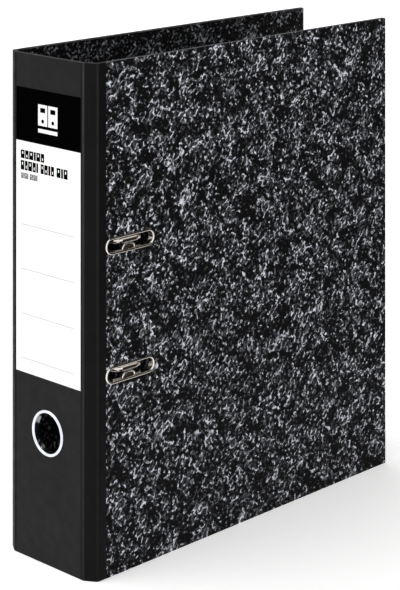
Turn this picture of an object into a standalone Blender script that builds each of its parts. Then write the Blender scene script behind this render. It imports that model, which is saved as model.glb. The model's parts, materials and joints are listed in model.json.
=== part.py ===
"""A lever arch file, closed and standing on its lower edges.

Metres, +Z up. X runs across the file's thickness with the front cover at +X, the spine faces -Y,
and the origin is the middle of the footprint. The case is five stiff panels joined by cloth at
four upright creases. The arch mechanism is riveted to the inside of the back cover.
"""

import math

import bmesh
import bpy
from mathutils import Matrix, Vector

# ---- case ----
HEIGHT = 0.318
DEPTH = 0.285
SPINE_WIDTH = 0.065
STRIP_X = 0.008  # a hinge strip's reach across the thickness
STRIP_Y = 0.005  # a hinge strip's reach along the depth
THICKNESS = SPINE_WIDTH + 2 * STRIP_X
COVER_LENGTH = DEPTH - STRIP_Y
STRIP_LENGTH = math.hypot(STRIP_X, STRIP_Y)

GAP = 0.0003  # clearance between pieces that touch
SKIN = 0.0003  # covering paper, cloth and lining
BOARD = 0.0018
BOARD_TOP = SKIN + GAP  # depth of the board's outer face below the covering's
LINING_TOP = BOARD_TOP + BOARD + GAP
WALL = LINING_TOP + SKIN
SHARP_CREASE = 0.0018  # board set back from the strip and cover crease
SOFT_CREASE = 0.0009  # board set back from the spine and strip crease
LINING_SETBACK = 0.0005  # a lining stops this much further from a crease than its board
LINING_INSET = 0.0003

# ---- spine fittings ----
LABEL_WIDTH = 0.0606
LABEL_LOW = 0.1161
LABEL_HIGH = 0.2968
LABEL_PAPER = 0.0002
RING_Z = 0.0826
RING_OUTER = 0.0146
RING_INNER = 0.0120
RING_WALL = 0.0007
RING_PROUD = 0.0010
RING_SIDES = 48

# ---- cover slots ----
HOLE_SPACING = 0.080
MIDDLE_Z = 0.164
SLOT_S = 0.0323  # distance of the slots' centre from the spine's outer face
SLOT_LENGTH = 0.0390
SLOT_HEIGHT = 0.0078
EYELET_RIM = 0.0017
EYELET_WALL = 0.0004
EYELET_PROUD = 0.0008
BACKING_RIM = 0.0022
BACKING_THICK = 0.0006
TAB_WIDTH = 0.0122
TAB_HEIGHT = 0.0034
TAB_THICK = 0.0008

# ---- arch mechanism: s from the spine's outer face, h above the plate's underside ----
PLATE = 0.0012
PLATE_S = (0.008, 0.068)
PLATE_HALF_LENGTH = 0.080
PLATE_CORNER = 0.007
MOUNT_S = (0.015, 0.0615)
MOUNT_REACH = 0.072  # rivets above and below the middle
RIVET_SHANK = 0.0020
RIVET_HEAD = 0.0045
RIVET_SUNK = 0.0005
RIVET_DOME = 0.0010
HOLE_PLAY = 0.0003

POST_S = 0.0488
POST_RADIUS = 0.0030
POST_BORE = 0.0023
POST_BORE_DEPTH = 0.006
POST_TOP = 0.048
POST_FOOT_RADIUS = 0.0045
POST_FOOT = 0.0008

WIRE = 0.0020
JOURNAL = (0.023, 0.005)
ARCH_KNEE = (0.023, 0.024)
ARCH_SHOULDER = (0.0265, 0.0717)
ARCH_RADII = (0.007, 0.006, 0.030, 0.0045)  # at the knuckle, shoulder, knee and journal
CRANK = (0.0342, 0.0062)
CRANK_HALF = 0.010
CRANK_SPLAY = 0.0055
CRANK_RADIUS = 0.003
BEARING_REACH = 0.026  # bearing straps above and below the middle
BEARING_WIDTH = 0.008
BEARING_INNER = 0.0024
BEARING_OUTER = 0.0036
BEAD_S = 0.034
BEAD_REACH = 0.052  # middle of each pressed bead above and below the middle
BEAD_LENGTH = 0.046
BEAD_WIDTH = 0.006
BEAD_RISE = 0.0012

LEVER_PIVOT = (0.041, 0.013)
LEVER_HALF = 0.009
SHEET = 0.0012
PIN = 0.0020
PIN_HEAD = 0.0034
EAR_GAP = 0.0016
EAR_HALF = 0.004
ROLLER_AXIS = (0.0345, 0.012)
ROLLER_RADIUS = 0.0035
ROLLER_PIN = 0.0013
ROLLER_PIN_HEAD = 0.0023

SPRING_RIVET = (0.0482, 0.0023)
SPRING_HALF = 0.006
SPRING_SHEET = 0.0007
SPRING_HEAD = 0.00275

BAR_S = (0.0423, 0.0610)
BAR_HALF_LENGTH = 0.058
BAR_H = 0.0026
BAR_THICK = 0.0016
BAR_RIB = 0.0016
BAR_RIB_S = 0.0568
BAR_RIB_REACH = 0.040
BAR_NOTCH = (0.0525, 0.015)  # clears the lever: the notch's far edge, and half its length

ARC_STEPS = 6
ROUND_SIDES = 24

# Linear colour, roughness, metallic.
FINISHES = {
    "spine_paper": ((0.023, 0.023, 0.025), 0.55, 0.0),
    "hinge_cloth": ((0.013, 0.013, 0.014), 0.60, 0.0),
    "mottled_paper": ((0.020, 0.020, 0.021), 0.45, 0.0),
    "greyboard": ((0.180, 0.170, 0.150), 0.90, 0.0),
    "label_paper": ((0.900, 0.900, 0.900), 0.60, 0.0),
    "nickel": ((0.620, 0.610, 0.590), 0.22, 1.0),
    "spring_steel": ((0.300, 0.300, 0.310), 0.35, 1.0),
    "dark_plastic": ((0.030, 0.030, 0.032), 0.40, 0.0),
}


# ---- scene, materials and objects ----
def clear_scene():
    for obj in list(bpy.data.objects):
        bpy.data.objects.remove(obj)


def collection(name, hidden=False):
    group = bpy.data.collections.new(name)
    bpy.context.scene.collection.children.link(group)
    group.hide_render = hidden
    return group


def material(name, finish):
    colour, roughness, metallic = FINISHES[finish]
    made = bpy.data.materials.new(name)
    made.use_nodes = True
    shader = made.node_tree.nodes["Principled BSDF"]
    shader.inputs["Base Color"].default_value = (*colour, 1.0)
    shader.inputs["Roughness"].default_value = roughness
    shader.inputs["Metallic"].default_value = metallic
    made.diffuse_color = (*colour, 1.0)
    return made


def place(name, data, frame, finish):
    """Make the object that holds this mesh or curve, at this frame, in the parts collection."""
    obj = bpy.data.objects.new(name, data)
    obj.matrix_world = frame
    data.materials.append(material(f"{name}_{finish}", finish))
    PARTS.objects.link(obj)
    return obj


def helper(name, data, frame):
    obj = bpy.data.objects.new(name, data)
    obj.matrix_world = frame
    obj.hide_render = True
    obj.display_type = "WIRE"
    CUTTERS.objects.link(obj)
    return obj


def boolean(obj, other, operation):
    modifier = obj.modifiers.new(f"{operation.lower()} {other.name}", "BOOLEAN")
    modifier.operation = operation
    modifier.object = other


def bevel(obj, width, segments=2):
    modifier = obj.modifiers.new("edge rounding", "BEVEL")
    modifier.width = width
    modifier.segments = segments
    modifier.limit_method = "ANGLE"
    modifier.angle_limit = math.radians(40)


# ---- outlines, as lists of points in a plane ----
def arc(centre, radius, start, end, steps=ARC_STEPS):
    """Points from start to end, in degrees."""
    turns = [math.radians(start + (end - start) * step / steps) for step in range(steps + 1)]
    return [(centre[0] + radius * math.cos(t), centre[1] + radius * math.sin(t)) for t in turns]


def circle(centre, radius, sides=ROUND_SIDES):
    return arc(centre, radius, 0, 360, sides)[:-1]


def rounded_rectangle(low, high, radius, steps=ARC_STEPS):
    x0, y0 = low[0] + radius, low[1] + radius
    x1, y1 = high[0] - radius, high[1] - radius
    corners = [((x1, y0), -90), ((x1, y1), 0), ((x0, y1), 90), ((x0, y0), 180)]
    return [point for centre, start in corners for point in arc(centre, radius, start, start + 90, steps)]


def stadium(centre, length, height):
    """A slot outline with round ends."""
    radius = height / 2
    reach = length / 2 - radius
    x, y = centre
    right = arc((x + reach, y), radius, -90, 90, 2 * ARC_STEPS)
    left = arc((x - reach, y), radius, 90, 270, 2 * ARC_STEPS)
    return right + left


def rounded_path(points, radii, steps=ARC_STEPS):
    """The path through these points with each inner corner turned at its radius."""
    path = [Vector(points[0])]
    for before, corner, after, radius in zip(points, points[1:], points[2:], radii, strict=False):
        corner = Vector(corner)
        into = (Vector(before) - corner).normalized()
        out = (Vector(after) - corner).normalized()
        half = into.angle(out) / 2
        centre = corner + (into + out).normalized() * radius / math.sin(half)
        start = (corner + into * radius / math.tan(half) - centre).normalized()
        end = (corner + out * radius / math.tan(half) - centre).normalized()
        path += [centre + radius * start.slerp(end, step / steps) for step in range(steps + 1)]
    path.append(Vector(points[-1]))
    return path


# ---- meshes ----
def block(low, high):
    low, high = Vector(low), Vector(high)
    mesh = bpy.data.meshes.new("block")
    shape = bmesh.new()
    size = high - low
    middle = Matrix.Translation((low + high) / 2) @ Matrix.Diagonal((*size, 1.0))
    bmesh.ops.create_cube(shape, size=1.0, matrix=middle)
    shape.to_mesh(mesh)
    shape.free()
    return mesh


def plate(outlines, low, high):
    """A flat plate from low to high along Z: the first outline is its edge, the others are holes."""
    curve = bpy.data.curves.new("outline", "CURVE")
    curve.dimensions = "2D"
    curve.fill_mode = "BOTH"
    curve.extrude = (high - low) / 2
    for outline in outlines:
        spline = curve.splines.new("POLY")
        spline.points.add(len(outline) - 1)
        for point, (x, y) in zip(spline.points, outline, strict=True):
            point.co = (x, y, 0.0, 1.0)
        spline.use_cyclic_u = True
    guide = bpy.data.objects.new("outline", curve)
    CUTTERS.objects.link(guide)
    bpy.context.view_layer.update()
    solid = guide.evaluated_get(bpy.context.evaluated_depsgraph_get())
    mesh = bpy.data.meshes.new_from_object(solid)
    bpy.data.objects.remove(guide)
    shape = bmesh.new()
    shape.from_mesh(mesh)
    bmesh.ops.translate(shape, verts=shape.verts, vec=(0, 0, (low + high) / 2))
    bmesh.ops.remove_doubles(shape, verts=shape.verts, dist=1e-6)
    bmesh.ops.recalc_face_normals(shape, faces=shape.faces)
    shape.to_mesh(mesh)
    shape.free()
    return mesh


def turned(name, profile, frame, finish, ring=False, sides=ROUND_SIDES):
    """Turn a profile of (radius, height) about Z. It runs down its outer side; a ring's closes."""
    mesh = bpy.data.meshes.new(name)
    points = [(radius, 0.0, height) for radius, height in profile]
    edges = [(i, i + 1) for i in range(len(points) - 1)]
    if ring:
        edges.append((len(points) - 1, 0))
    mesh.from_pydata(points, edges, [])
    obj = place(name, mesh, frame, finish)
    screw = obj.modifiers.new("turn", "SCREW")
    screw.steps = screw.render_steps = sides
    screw.use_merge_vertices = True
    screw.merge_threshold = 1e-5
    return obj


def swept_ring(outline_at, profile):
    """A closed ring: outline_at(offset) at the height of each (offset, height) of the profile."""
    mesh = bpy.data.meshes.new("ring")
    shape = bmesh.new()
    loops = [[shape.verts.new((x, y, height)) for x, y in outline_at(offset)] for offset, height in profile]
    count = len(loops[0])
    for loop, following in zip(loops, loops[1:] + loops[:1], strict=True):
        for i in range(count):
            j = (i + 1) % count
            shape.faces.new((loop[i], loop[j], following[j], following[i]))
    bmesh.ops.recalc_face_normals(shape, faces=shape.faces)
    shape.to_mesh(mesh)
    shape.free()
    mesh.shade_smooth()
    return mesh


def wire(name, points, radius, frame, finish):
    curve = bpy.data.curves.new(name, "CURVE")
    curve.dimensions = "3D"
    curve.bevel_depth = radius
    curve.bevel_resolution = 5
    curve.use_fill_caps = True
    spline = curve.splines.new("POLY")
    spline.points.add(len(points) - 1)
    for point, place_on_path in zip(spline.points, points, strict=True):
        point.co = (*place_on_path, 1.0)
    return place(name, curve, frame, finish)


def folded_strip(path, half_width):
    """An open strip that follows a path of (x, y) and spans half_width each way along Z."""
    mesh = bpy.data.meshes.new("strip")
    shape = bmesh.new()
    line = [shape.verts.new((x, y, -half_width)) for x, y in path]
    edges = [shape.edges.new(pair) for pair in zip(line, line[1:], strict=False)]
    swept = bmesh.ops.extrude_edge_only(shape, edges=edges)["geom"]
    moved = [item for item in swept if isinstance(item, bmesh.types.BMVert)]
    bmesh.ops.translate(shape, verts=moved, vec=(0, 0, 2 * half_width))
    shape.to_mesh(mesh)
    shape.free()
    return mesh


def thicken(obj, thickness):
    modifier = obj.modifiers.new("sheet", "SOLIDIFY")
    modifier.thickness = thickness
    modifier.offset = 0.0
    modifier.use_even_offset = True


# ---- frames ----
def panel_frame(start, direction):
    """X along the panel, Y up and Z out of the file, from a point on the panel's outer face."""
    along = Vector((*direction, 0.0)).normalized()
    up = Vector((0.0, 0.0, 1.0))
    frame = Matrix((along, up, along.cross(up))).transposed().to_4x4()
    frame.translation = (*start, 0.0)
    return frame


HALF = THICKNESS / 2
FORE = DEPTH / 2
CREASES = {
    "back": (-HALF, -FORE + STRIP_Y),
    "spine_back": (-SPINE_WIDTH / 2, -FORE),
    "spine_front": (SPINE_WIDTH / 2, -FORE),
    "front": (HALF, -FORE + STRIP_Y),
}
BACK = panel_frame((-HALF, FORE), (0, -1))
BACK_STRIP = panel_frame(CREASES["back"], (STRIP_X, -STRIP_Y))
SPINE = panel_frame(CREASES["spine_back"], (1, 0))
FRONT_STRIP = panel_frame(CREASES["spine_front"], (STRIP_X, STRIP_Y))
FRONT = panel_frame(CREASES["front"], (0, 1))

# The mechanism's plate lies on the back lining. MECHANISM has X = s, Y = up and Z = h.
PLATE_X = -HALF + WALL + GAP
MECHANISM = Matrix.Translation((PLATE_X, -FORE, 0.0)) @ Matrix(
    ((0, 0, 1, 0), (1, 0, 0, 0), (0, 1, 0, 0), (0, 0, 0, 1))
)
# SIDE has X = s, Y = h and Z pointing down, with its origin at the middle of the mechanism.
SIDE = Matrix.Translation((PLATE_X, -FORE, MIDDLE_Z)) @ Matrix(
    ((0, 1, 0, 0), (1, 0, 0, 0), (0, 0, -1, 0), (0, 0, 0, 1))
)
POSTS_Z = {"lower": MIDDLE_Z - HOLE_SPACING / 2, "upper": MIDDLE_Z + HOLE_SPACING / 2}


def axis_point(s, h, z=MIDDLE_Z):
    return Vector((PLATE_X + h, s - FORE, z))


# ---- case ----
def layer(name, frame, span, depth, thickness, finish, inset=0.0):
    """A flat layer of a panel, from depth to depth + thickness below its outer face."""
    low = (span[0], inset, -depth - thickness)
    high = (span[1], HEIGHT - inset, -depth)
    return place(name, block(low, high), frame, finish)


def cover(side, frame, span, lining_span, paper_span):
    """A cover's board, its covering and its lining. The spans run along the panel frame's X."""
    board = layer(f"{side}_board", frame, span, BOARD_TOP, BOARD, "greyboard")
    paper = layer(f"{side}_cover_paper", frame, paper_span, 0.0, SKIN, "mottled_paper", GAP)
    lining = layer(f"{side}_lining", frame, lining_span, LINING_TOP, SKIN, "mottled_paper", LINING_INSET)
    return board, paper, lining


def drill(name, outline, frame, depths, targets):
    """Cut one outline through several layers between two depths below the outer face."""
    cutter = helper(name, plate([outline], -depths[1], -depths[0]), frame)
    for target in targets:
        boolean(target, cutter, "DIFFERENCE")


def slot_outline(z):
    """The slot's outline as a function of its offset outwards from the opening."""
    centre = (SLOT_S - STRIP_Y, z)
    return lambda offset: stadium(centre, SLOT_LENGTH + 2 * offset, SLOT_HEIGHT + 2 * offset)


def slot_eyelet(name, z):
    """A pressed eyelet: rounded rim on the cover, wall through the board, half-round tab below."""
    foot = -WALL - GAP
    reach = EYELET_RIM / 2
    crown = arc((0.0, 0.0), 1.0, 180, 0)
    crown = [(reach + x * reach, GAP + y * EYELET_PROUD) for x, y in crown]
    profile = [(0.0, foot), *crown, (EYELET_WALL, GAP), (EYELET_WALL, foot)]
    eyelet = place(name, swept_ring(slot_outline(z), profile), FRONT, "nickel")
    floor = z - SLOT_HEIGHT / 2 - EYELET_WALL / 2
    half_disc = arc((0.0, 0.0), 1.0, 0, 180, 2 * ARC_STEPS)
    middle = SLOT_S - STRIP_Y
    tab = [(middle + x * TAB_WIDTH / 2, floor + y * TAB_HEIGHT) for x, y in half_disc]
    lug = helper(f"{name}_tab", plate([tab], -TAB_THICK, 0.0), FRONT)
    boolean(eyelet, lug, "UNION")
    return eyelet


def slot_backing(name, z):
    """The flat frame inside the cover that the eyelet's wall is closed over."""
    inner = EYELET_WALL + GAP
    high = -WALL - GAP
    low = high - BACKING_THICK
    profile = [(inner, low), (inner, high), (inner + BACKING_RIM, high), (inner + BACKING_RIM, low)]
    return place(name, swept_ring(slot_outline(z), profile), FRONT, "nickel")


def build_front_cover():
    span = (SHARP_CREASE, COVER_LENGTH)
    lining_span = (SHARP_CREASE + LINING_SETBACK, COVER_LENGTH - LINING_INSET)
    layers = cover("front", FRONT, span, lining_span, (GAP, COVER_LENGTH))
    pieces = list(layers)
    for level, z in POSTS_Z.items():
        hole = slot_outline(z)(EYELET_WALL + GAP)
        drill(f"{level}_slot_cutter", hole, FRONT, (-WALL, 2 * WALL), layers)
        pieces.append(slot_eyelet(f"{level}_slot_eyelet", z))
        pieces.append(slot_backing(f"{level}_slot_backing", z))
    return pieces


def build_strip(side, frame, creases):
    """A narrow hinge panel. The two creases are the board's setbacks at its ends."""
    span = (creases[0], STRIP_LENGTH - creases[1])
    board = layer(f"{side}_strip_board", frame, span, BOARD_TOP, BOARD, "greyboard")
    cloth = layer(f"{side}_strip_cloth", frame, (GAP, STRIP_LENGTH - GAP), 0.0, SKIN, "hinge_cloth", GAP)
    return [board, cloth]


def build_spine():
    span = (SOFT_CREASE, SPINE_WIDTH - SOFT_CREASE)
    lining_span = (span[0] + LINING_SETBACK, span[1] - LINING_SETBACK)
    board = layer("spine_board", SPINE, span, BOARD_TOP, BOARD, "greyboard")
    cloth = layer("spine_cloth", SPINE, (GAP, SPINE_WIDTH - GAP), 0.0, SKIN, "spine_paper", GAP)
    lining = layer("spine_lining", SPINE, lining_span, LINING_TOP, SKIN, "mottled_paper", LINING_INSET)
    middle = SPINE_WIDTH / 2
    barrel = RING_INNER + RING_WALL
    hole = circle((middle, RING_Z), barrel + GAP, RING_SIDES)
    drill("finger_hole_cutter", hole, SPINE, (-WALL, 2 * WALL), (board, cloth, lining))

    low = (middle - LABEL_WIDTH / 2, LABEL_LOW, GAP)
    high = (middle + LABEL_WIDTH / 2, LABEL_HIGH, GAP + LABEL_PAPER)
    label = place("spine_label", block(low, high), SPINE, "label_paper")

    ring_frame = SPINE @ Matrix.Translation((middle, RING_Z, 0.0))
    rim_middle = (RING_OUTER + RING_INNER) / 2
    rim_reach = (RING_OUTER - RING_INNER) / 2
    crown = arc((0.0, 0.0), 1.0, 180, 0)
    crown = [(rim_middle + x * rim_reach, GAP + y * RING_PROUD) for x, y in crown]
    foot = [(barrel, GAP), (barrel, -WALL - GAP), (RING_INNER, -WALL - GAP)]
    ring = turned("finger_ring", crown + foot, ring_frame, "nickel", ring=True, sides=RING_SIDES)
    inner, outer = barrel + GAP, RING_OUTER + GAP
    top, bottom = -WALL - GAP, -WALL - GAP - BACKING_THICK
    washer = [(inner, top), (outer, top), (outer, bottom), (inner, bottom)]
    backing = turned("finger_ring_backing", washer, ring_frame, "nickel", ring=True, sides=RING_SIDES)
    return [board, cloth, lining, label, ring, backing]


# ---- mechanism ----
def mount_rivet(name, s, z):
    """Head sunk flush in the back covering, shank through board and plate, domed head inside."""
    outside = -WALL - GAP
    shelf = outside + RIVET_SUNK
    seat = PLATE + GAP
    dome = arc((0.0, 0.0), 1.0, 90, 0, 4)
    dome = [(x * RIVET_HEAD, seat + y * RIVET_DOME) for x, y in dome]
    dome[0] = (0.0, seat + RIVET_DOME)
    shank = [(RIVET_SHANK, seat), (RIVET_SHANK, shelf), (RIVET_HEAD, shelf)]
    profile = dome + shank + [(RIVET_HEAD, outside), (0.0, outside)]
    frame = MECHANISM @ Matrix.Translation((s, z, 0.0))
    return turned(name, profile, frame, "nickel")


def fixed_post(name, z):
    """A tube with a blind bore, a round foot on the plate and a shank spun into it."""
    foot = PLATE + GAP
    rise = foot + POST_FOOT
    edge = 0.0006
    profile = [(0.0, POST_TOP - POST_BORE_DEPTH), (POST_BORE, POST_TOP - POST_BORE_DEPTH)]
    profile += [(POST_BORE, POST_TOP), (POST_RADIUS - edge, POST_TOP), (POST_RADIUS, POST_TOP - edge)]
    profile += [(POST_RADIUS, rise), (POST_FOOT_RADIUS, rise), (POST_FOOT_RADIUS, foot)]
    profile += [(RIVET_SHANK, foot), (RIVET_SHANK, 0.0), (0.0, 0.0)]
    frame = MECHANISM @ Matrix.Translation((POST_S, z, 0.0))
    return turned(name, profile, frame, "nickel")


def bearing_strap(name, centre_z):
    """A pressed bridge over the bow's journal, rooted in the plate."""
    s, h = JOURNAL
    root = PLATE / 2
    outer = [(s + BEARING_OUTER, root), *arc((s, h), BEARING_OUTER, 0, 180), (s - BEARING_OUTER, root)]
    inner = [(s - BEARING_INNER, root), *arc((s, h), BEARING_INNER, 180, 0), (s + BEARING_INNER, root)]
    middle = MIDDLE_Z - centre_z
    mesh = plate([outer + inner], middle - BEARING_WIDTH / 2, middle + BEARING_WIDTH / 2)
    return helper(name, mesh, SIDE)


def pivot_ear(name, inner_face):
    """An upright ear with the lever's pivot hole. inner_face is its near face on SIDE's Z."""
    s, h = LEVER_PIVOT
    outline = [(s + EAR_HALF, PLATE / 2), *arc((s, h), EAR_HALF, 0, 180), (s - EAR_HALF, PLATE / 2)]
    far_face = inner_face + math.copysign(SHEET, inner_face)
    hole = circle((s, h), PIN + HOLE_PLAY, 16)
    return helper(name, plate([outline, hole], min(inner_face, far_face), max(inner_face, far_face)), SIDE)


def pressed_bead(name, centre_z):
    """A stiffening bead that runs up the plate, with a rounded top."""
    outline = [(s, z) for z, s in stadium((centre_z, BEAD_S), BEAD_LENGTH, BEAD_WIDTH)]
    bead = helper(name, plate([outline], PLATE / 2, PLATE + BEAD_RISE), MECHANISM)
    bevel(bead, BEAD_RISE * 0.6)
    return bead


def build_plate():
    low = (PLATE_S[0], MIDDLE_Z - PLATE_HALF_LENGTH)
    high = (PLATE_S[1], MIDDLE_Z + PLATE_HALF_LENGTH)
    holes = [circle((POST_S, z), RIVET_SHANK + HOLE_PLAY, 16) for z in POSTS_Z.values()]
    for s, z in mount_places():
        holes.append(circle((s, z), RIVET_SHANK + HOLE_PLAY, 16))
    holes.append(circle((SPRING_RIVET[0], MIDDLE_Z), ROLLER_PIN + HOLE_PLAY, 16))
    outline = rounded_rectangle(low, high, PLATE_CORNER)
    base = place("base_plate", plate([outline, *holes], 0.0, PLATE), MECHANISM, "nickel")
    for level, side in (("lower", -1), ("upper", 1)):
        boolean(base, bearing_strap(f"{level}_bearing", MIDDLE_Z + side * BEARING_REACH), "UNION")
        boolean(base, pivot_ear(f"{level}_ear", -side * (LEVER_HALF + EAR_GAP)), "UNION")
        boolean(base, pressed_bead(f"{level}_bead", MIDDLE_Z + side * BEAD_REACH), "UNION")
    return base


def mount_places():
    return [(s, MIDDLE_Z + side * MOUNT_REACH) for s in MOUNT_S for side in (-1, 1)]


def build_bow():
    """One wire bent into two arches joined by a straight journal with a crank in its middle."""
    tip = (POST_S, POST_TOP + 1.5 * GAP)
    knuckle = (POST_S, ARCH_SHOULDER[1])
    reach = HOLE_SPACING / 2

    def arch(z):
        side = [tip, knuckle, ARCH_SHOULDER, ARCH_KNEE, JOURNAL]
        return [(s, h, z) for s, h in side]

    crank_out = CRANK_HALF + CRANK_SPLAY
    middle = [(*JOURNAL, crank_out), (*CRANK, CRANK_HALF), (*CRANK, -CRANK_HALF), (*JOURNAL, -crank_out)]
    points = arch(reach) + middle + arch(-reach)[::-1]
    radii = [*ARCH_RADII, *[CRANK_RADIUS] * len(middle), *ARCH_RADII[::-1]]
    return wire("arch_bow", rounded_path(points, radii), WIRE, SIDE, "nickel")


def build_lever():
    """A pressed channel: a web that curls up into the finger blade, and two pierced cheeks."""
    heel, back, curl, tip = (0.0462, 0.0170), (0.0240, 0.0202), (0.0100, 0.0215), (0.0082, 0.0425)
    lip = (0.0112, 0.0440)
    path = rounded_path([heel, back, curl, tip, lip], [0.060, 0.009, 0.0012])
    lever = place("lever", folded_strip(path, LEVER_HALF), SIDE, "nickel")
    thicken(lever, SHEET)
    pivot_round = arc(LEVER_PIVOT, 0.0046, 0, -90)
    roller_round = arc(ROLLER_AXIS, 0.0032, -90, -180)
    cheek = [heel, *pivot_round, *roller_round, back]
    holes = [circle(LEVER_PIVOT, PIN + HOLE_PLAY, 16), circle(ROLLER_AXIS, ROLLER_PIN + HOLE_PLAY, 16)]
    for name, low in (("near", LEVER_HALF - SHEET), ("far", -LEVER_HALF)):
        wall = helper(f"lever_{name}_cheek", plate([cheek, *holes], low, low + SHEET), SIDE)
        boolean(lever, wall, "UNION")
    return lever


def headed_pin(name, axis, radius, head_radius, half_length, head, finish="nickel"):
    """A pin along Z with a flat head at each end, headed over once it is through its holes."""
    top = half_length + head
    profile = [(0.0, top), (head_radius, top), (head_radius, half_length), (radius, half_length)]
    profile += [(radius, -half_length), (head_radius, -half_length), (head_radius, -top), (0.0, -top)]
    return turned(name, profile, SIDE @ Matrix.Translation((*axis, 0.0)), finish, sides=16)


def build_roller():
    reach = LEVER_HALF - SHEET - 2 * GAP
    bore = ROLLER_PIN + HOLE_PLAY
    edge = 0.0004
    outer = [(ROLLER_RADIUS - edge, reach), (ROLLER_RADIUS, reach - edge)]
    outer += [(ROLLER_RADIUS, edge - reach), (ROLLER_RADIUS - edge, -reach)]
    profile = [(bore, reach), *outer, (bore, -reach)]
    return turned("roller", profile, SIDE @ Matrix.Translation((*ROLLER_AXIS, 0.0)), "nickel", ring=True)


def build_spring():
    """A leaf that lies on the plate and presses up under the crank."""
    s, h = SPRING_RIVET
    corners = [(s + 0.002, h), (0.0405, h), (0.0335, 0.00335), (0.0305, 0.00335)]
    path = rounded_path(corners, [0.020, 0.004], 4)
    leaf = place("leaf_spring", folded_strip(path, SPRING_HALF), SIDE, "spring_steel")
    thicken(leaf, SPRING_SHEET)
    hole = circle((s, MIDDLE_Z), ROLLER_PIN + HOLE_PLAY, 16)
    boolean(leaf, helper("leaf_hole_cutter", plate([hole], 0.0, 2 * h), MECHANISM), "DIFFERENCE")
    return leaf


def build_spring_rivet():
    s, h = SPRING_RIVET
    seat = h + SPRING_SHEET / 2 + 0.0006
    profile = [(0.0, seat + 0.0008), (SPRING_HEAD - 0.0004, seat + 0.0008), (SPRING_HEAD, seat + 0.0004)]
    profile += [(SPRING_HEAD, seat), (ROLLER_PIN, seat), (ROLLER_PIN, 0.0), (0.0, 0.0)]
    place_on_plate = MECHANISM @ Matrix.Translation((s, MIDDLE_Z, 0.0))
    return turned("spring_rivet", profile, place_on_plate, "nickel", sides=16)


def build_compressor_bar():
    """The bar that holds the papers down, guided by both posts, notched for the lever and ribbed."""
    low = (BAR_S[0], MIDDLE_Z - BAR_HALF_LENGTH)
    high = (BAR_S[1], MIDDLE_Z + BAR_HALF_LENGTH)
    holes = [circle((POST_S, z), POST_RADIUS + HOLE_PLAY) for z in POSTS_Z.values()]
    top = BAR_H + BAR_THICK
    mesh = plate([rounded_rectangle(low, high, 0.004), *holes], BAR_H, top)
    bar = place("compressor_bar", mesh, MECHANISM, "dark_plastic")
    reach, half = BAR_NOTCH
    notch = rounded_rectangle((BAR_S[0] - reach, MIDDLE_Z - half), (reach, MIDDLE_Z + half), 0.003)
    boolean(bar, helper("bar_notch", plate([notch], 0.0, 2 * top), MECHANISM), "DIFFERENCE")
    rib_low = (BAR_RIB_S - BAR_RIB, MIDDLE_Z - BAR_RIB_REACH)
    rib_high = (BAR_RIB_S + BAR_RIB, MIDDLE_Z + BAR_RIB_REACH)
    rib_outline = rounded_rectangle(rib_low, rib_high, BAR_RIB * 0.99, 4)
    rib = plate([rib_outline], top - BAR_THICK / 2, top + BAR_RIB)
    boolean(bar, helper("bar_rib", rib, MECHANISM), "UNION")
    return bar


def build_back_cover():
    """The back cover with every piece that is fixed to it."""
    span = (0.0, COVER_LENGTH - SHARP_CREASE)
    lining_span = (LINING_INSET, COVER_LENGTH - SHARP_CREASE - LINING_SETBACK)
    board, paper, lining = cover("back", BACK, span, lining_span, (0.0, COVER_LENGTH - GAP))
    pieces = [board, paper, lining]
    for index, (s, z) in enumerate(mount_places(), start=1):
        place_on_cover = (DEPTH - s, z)
        through = circle(place_on_cover, RIVET_SHANK + HOLE_PLAY, 16)
        recess = circle(place_on_cover, RIVET_HEAD + HOLE_PLAY)
        drill(f"mount_hole_{index}", through, BACK, (SKIN, 2 * WALL), (board, lining))
        drill(f"mount_recess_{index}", recess, BACK, (-WALL, RIVET_SUNK + GAP), (board, paper))
        pieces.append(mount_rivet(f"mount_rivet_{index}", s, z))
    pieces.append(build_plate())
    for level, z in POSTS_Z.items():
        pieces.append(fixed_post(f"{level}_post", z))
    ear_out = LEVER_HALF + EAR_GAP + SHEET + GAP
    pieces.append(headed_pin("lever_pivot_pin", LEVER_PIVOT, PIN, PIN_HEAD, ear_out, SHEET))
    pieces.append(build_spring_rivet())
    return pieces


def hang(name, pivot, pieces):
    """Parent the pieces to an empty on their joint's axis, leaving them where they are."""
    empty = bpy.data.objects.new(f"{name}_axis", None)
    empty.location = pivot
    empty.empty_display_size = 0.02
    PARTS.objects.link(empty)
    bpy.context.view_layer.update()
    for piece in pieces:
        world = piece.matrix_world.copy()
        piece.parent = empty
        piece.matrix_world = world


def build():
    build_back_cover()
    hang("back_strip", (*CREASES["back"], 0.0), build_strip("back", BACK_STRIP, (SHARP_CREASE, SOFT_CREASE)))
    hang("spine", (*CREASES["spine_back"], 0.0), build_spine())
    front_strip = build_strip("front", FRONT_STRIP, (SOFT_CREASE, SHARP_CREASE))
    hang("front_strip", (*CREASES["spine_front"], 0.0), front_strip)
    hang("front_cover", (*CREASES["front"], 0.0), build_front_cover())
    hang("arch_bow", axis_point(*JOURNAL), [build_bow()])
    pin_half = LEVER_HALF + GAP
    roller_pin = headed_pin("roller_pin", ROLLER_AXIS, ROLLER_PIN, ROLLER_PIN_HEAD, pin_half, 0.0008)
    hang("lever", axis_point(*LEVER_PIVOT), [build_lever(), roller_pin])
    hang("roller", axis_point(*ROLLER_AXIS), [build_roller()])
    hang("leaf_spring", axis_point(*SPRING_RIVET), [build_spring()])
    hang("compressor_bar", axis_point(POST_S, BAR_H), [build_compressor_bar()])


clear_scene()
PARTS = collection("lever_arch_file")
CUTTERS = collection("lever_arch_file_cutters", hidden=True)
build()
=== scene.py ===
"""The looks of the lever arch file: coverings, printing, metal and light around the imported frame."""

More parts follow.
